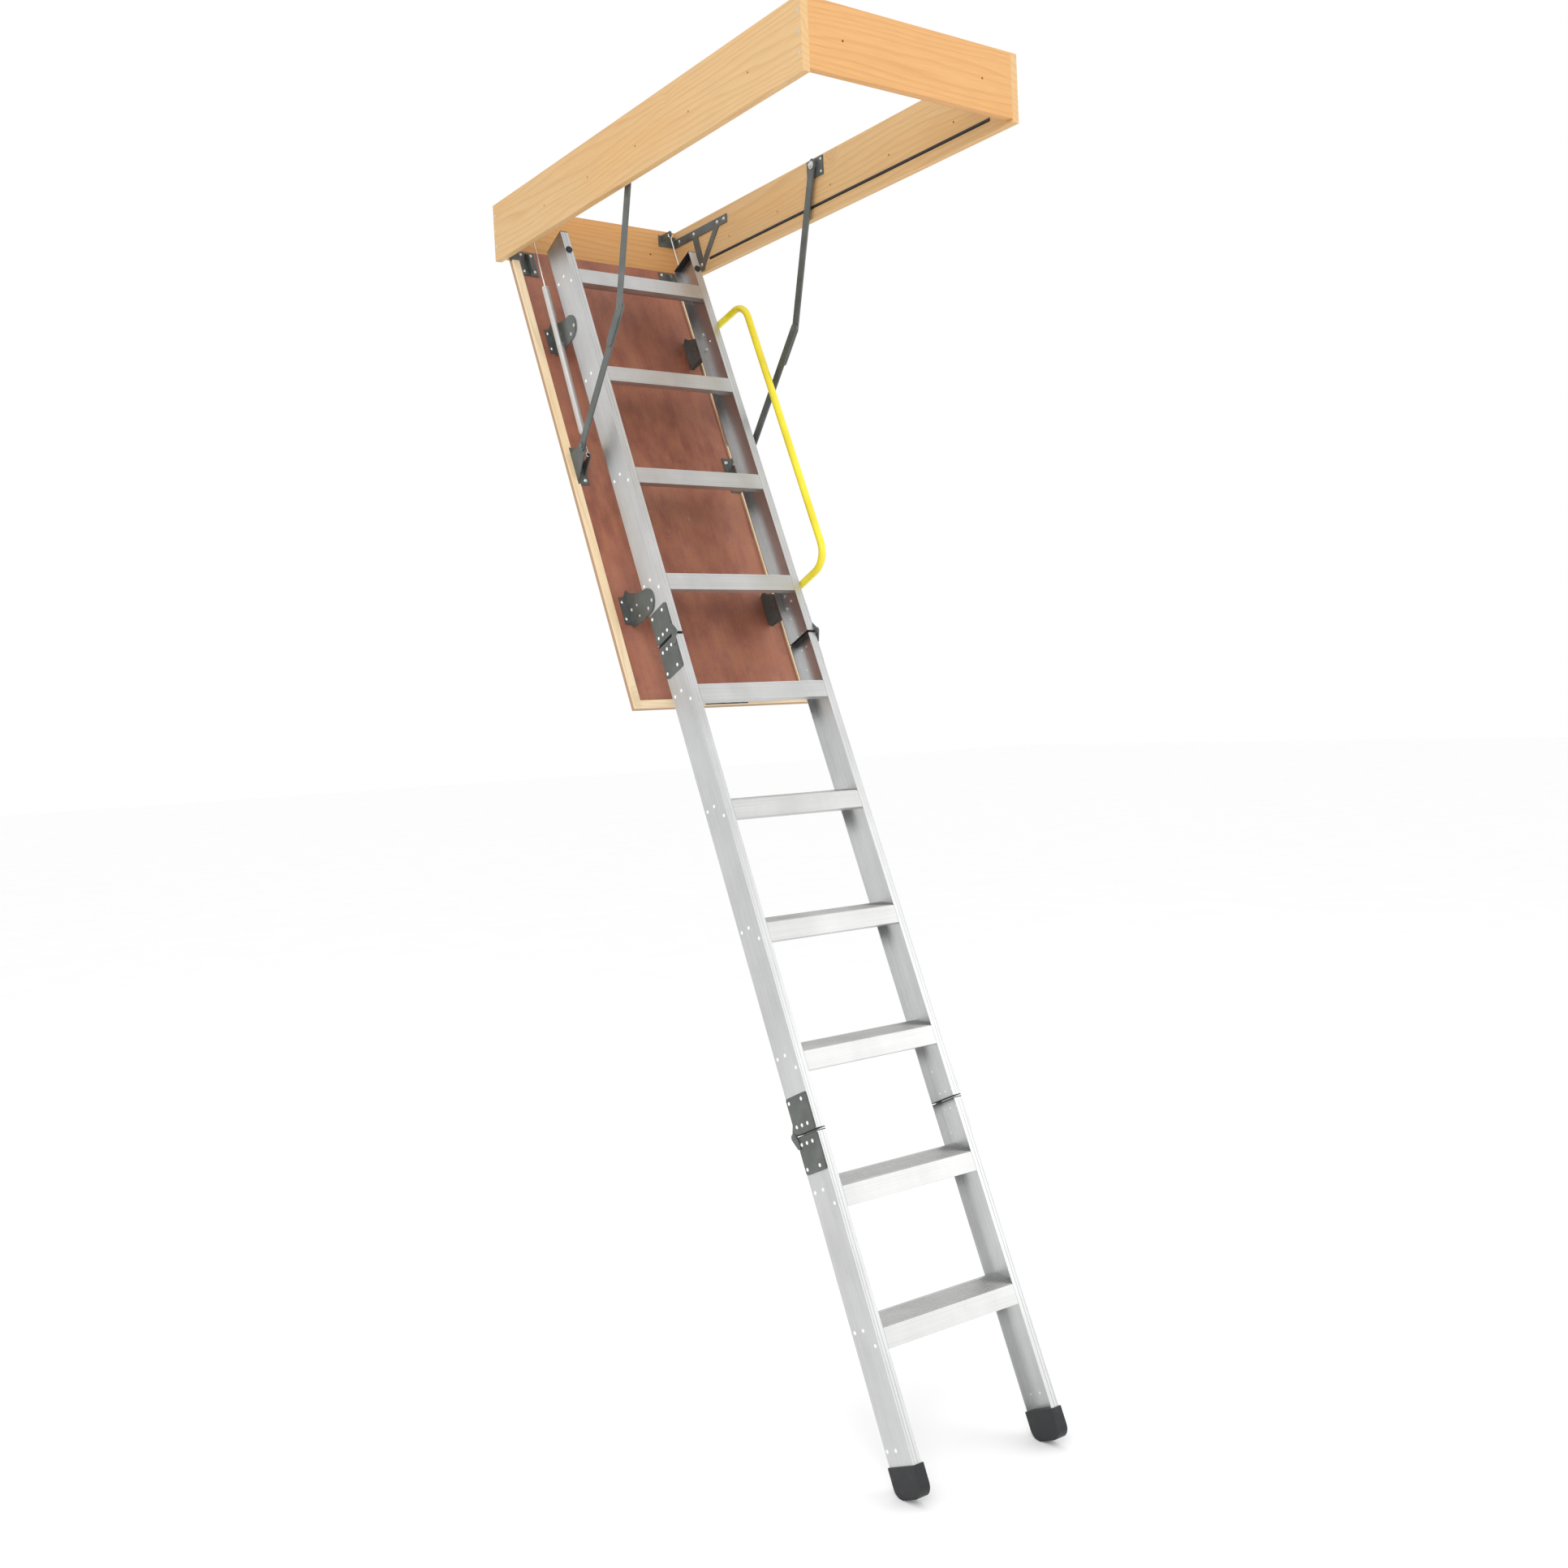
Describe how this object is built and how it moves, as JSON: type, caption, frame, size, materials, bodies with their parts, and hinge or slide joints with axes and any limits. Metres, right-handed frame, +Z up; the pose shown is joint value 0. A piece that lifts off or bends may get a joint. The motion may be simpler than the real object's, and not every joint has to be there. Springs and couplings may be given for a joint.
{
  "type": "attic ladder",
  "caption": "Folding aluminium attic ladder on a hinged wooden hatch door in a timber frame, with springs, folding arms and a side handrail, shown open.",
  "frame": {"origin": "centre of the hatch frame, level with the underside of its end boards and the ceiling", "axes": "+Z up; +X to the right of a person facing the steps; +Y towards the hinge end of the frame"},
  "size_m": [0.588, 1.5063, 3.0771],
  "materials": {
    "pine": "matte",
    "plywood": "satin",
    "dark_steel": "satin",
    "zinc": "satin",
    "rivet_aluminium": "satin",
    "spring_steel": "satin",
    "black_rubber": "matte",
    "black_plastic": "matte",
    "yellow_paint": "gloss",
    "aluminium": "satin"
  },
  "bodies": {
    "frame": {"left_frame_board": "pine", "right_frame_board": "pine", "hinge_end_board": "pine", "near_end_board": "pine", "frame_screws": "zinc", "seal_strips": "black_rubber", "left_hinge_hanger": "dark_steel", "right_hinge_hanger": "dark_steel", "hanger_bolts": "zinc", "arm_mount_plates": "dark_steel", "arm_pivot_studs": "zinc", "strike_plate": "dark_steel"},
    "door": {"door_panel": "plywood", "door_trim": "pine", "left_door_hinge": "dark_steel", "right_door_hinge": "dark_steel", "door_hinge_rivets": "zinc", "left_arm_bracket": "dark_steel", "right_arm_bracket": "dark_steel", "arm_bracket_bolts": "zinc", "latch_plate": "dark_steel", "upper_ladder_brackets": "dark_steel", "lower_ladder_brackets": "dark_steel", "ladder_bracket_bolts": "zinc", "top_left_rail": "aluminium", "top_right_rail": "aluminium", "top_rivets": "rivet_aluminium", "top_joint_plates": "dark_steel", "top_end_caps": "black_plastic", "bumper_plugs": "black_plastic", "handrail": "yellow_paint", "handrail_bolts": "zinc", "step_1": "aluminium", "step_2": "aluminium", "step_3": "aluminium", "step_4": "aluminium"},
    "middle_section": {"middle_left_rail": "aluminium", "middle_right_rail": "aluminium", "middle_rivets": "rivet_aluminium", "middle_joint_plates": "dark_steel", "middle_end_caps": "black_plastic", "step_5": "aluminium", "step_6": "aluminium", "step_7": "aluminium", "step_8": "aluminium"},
    "bottom_section": {"bottom_left_rail": "aluminium", "bottom_right_rail": "aluminium", "bottom_rivets": "rivet_aluminium", "bottom_joint_plates": "dark_steel", "bottom_end_caps": "black_plastic", "left_foot": "black_rubber", "right_foot": "black_rubber", "step_9": "aluminium", "step_10": "aluminium"},
    "left_upper_arm": {"left_upper_arm": "dark_steel"},
    "right_upper_arm": {"right_upper_arm": "dark_steel"},
    "left_lower_arm": {"left_lower_arm": "dark_steel"},
    "right_lower_arm": {"right_lower_arm": "dark_steel"},
    "left_spring": {"left_spring": "spring_steel"},
    "right_spring": {"right_spring": "spring_steel"}
  },
  "joints": [
    {"name": "door_hinge", "type": "hinge", "parent": "frame", "child": "door", "pos_m": [0, 0.669, 0], "axis": [-1, 0, 0], "range_deg": [0, 58.8]},
    {"name": "middle_fold", "type": "hinge", "parent": "door", "child": "middle_section", "pos_m": [0, 0.00833, -1.06966], "axis": [-1, 0, 0], "range_deg": [0, 180]},
    {"name": "bottom_fold", "type": "hinge", "parent": "middle_section", "child": "bottom_section", "pos_m": [0, -0.39959, -2.23279], "axis": [1, 0, 0], "range_deg": [0, 180]},
    {"name": "left_upper_arm_swing", "type": "hinge", "parent": "frame", "child": "left_upper_arm", "pos_m": [-0.2645, 0.0035, 0.121], "axis": [-1, 0, 0], "range_deg": [0, 112]},
    {"name": "left_lower_arm_swing", "type": "hinge", "parent": "door", "child": "left_lower_arm", "pos_m": [-0.2595, 0.34318, -0.56684], "axis": [1, 0, 0], "range_deg": [0, 86]},
    {"name": "left_spring_swing", "type": "hinge", "parent": "frame", "child": "left_spring", "pos_m": [-0.229, 0.651, 0.12], "axis": [-1, 0, 0], "range_deg": [0, 54.5], "deforming": ["left_spring"]},
    {"name": "right_upper_arm_swing", "type": "hinge", "parent": "frame", "child": "right_upper_arm", "pos_m": [0.2645, 0.0035, 0.121], "axis": [-1, 0, 0], "range_deg": [0, 112]},
    {"name": "right_lower_arm_swing", "type": "hinge", "parent": "door", "child": "right_lower_arm", "pos_m": [0.2595, 0.34318, -0.56684], "axis": [1, 0, 0], "range_deg": [0, 86]},
    {"name": "right_spring_swing", "type": "hinge", "parent": "frame", "child": "right_spring", "pos_m": [0.229, 0.651, 0.12], "axis": [-1, 0, 0], "range_deg": [0, 54.5], "deforming": ["right_spring"]}
  ],
  "couplings": [
    {"joint": "bottom_fold", "follows": "middle_fold", "ratio": 1},
    {"joint": "left_upper_arm_swing", "follows": "door_hinge", "ratio": 1.8715},
    {"joint": "left_lower_arm_swing", "follows": "door_hinge", "ratio": 1.4439},
    {"joint": "left_spring_swing", "follows": "door_hinge", "ratio": 0.9124},
    {"joint": "right_upper_arm_swing", "follows": "door_hinge", "ratio": 1.8715},
    {"joint": "right_lower_arm_swing", "follows": "door_hinge", "ratio": 1.4439},
    {"joint": "right_spring_swing", "follows": "door_hinge", "ratio": 0.9124}
  ]
}
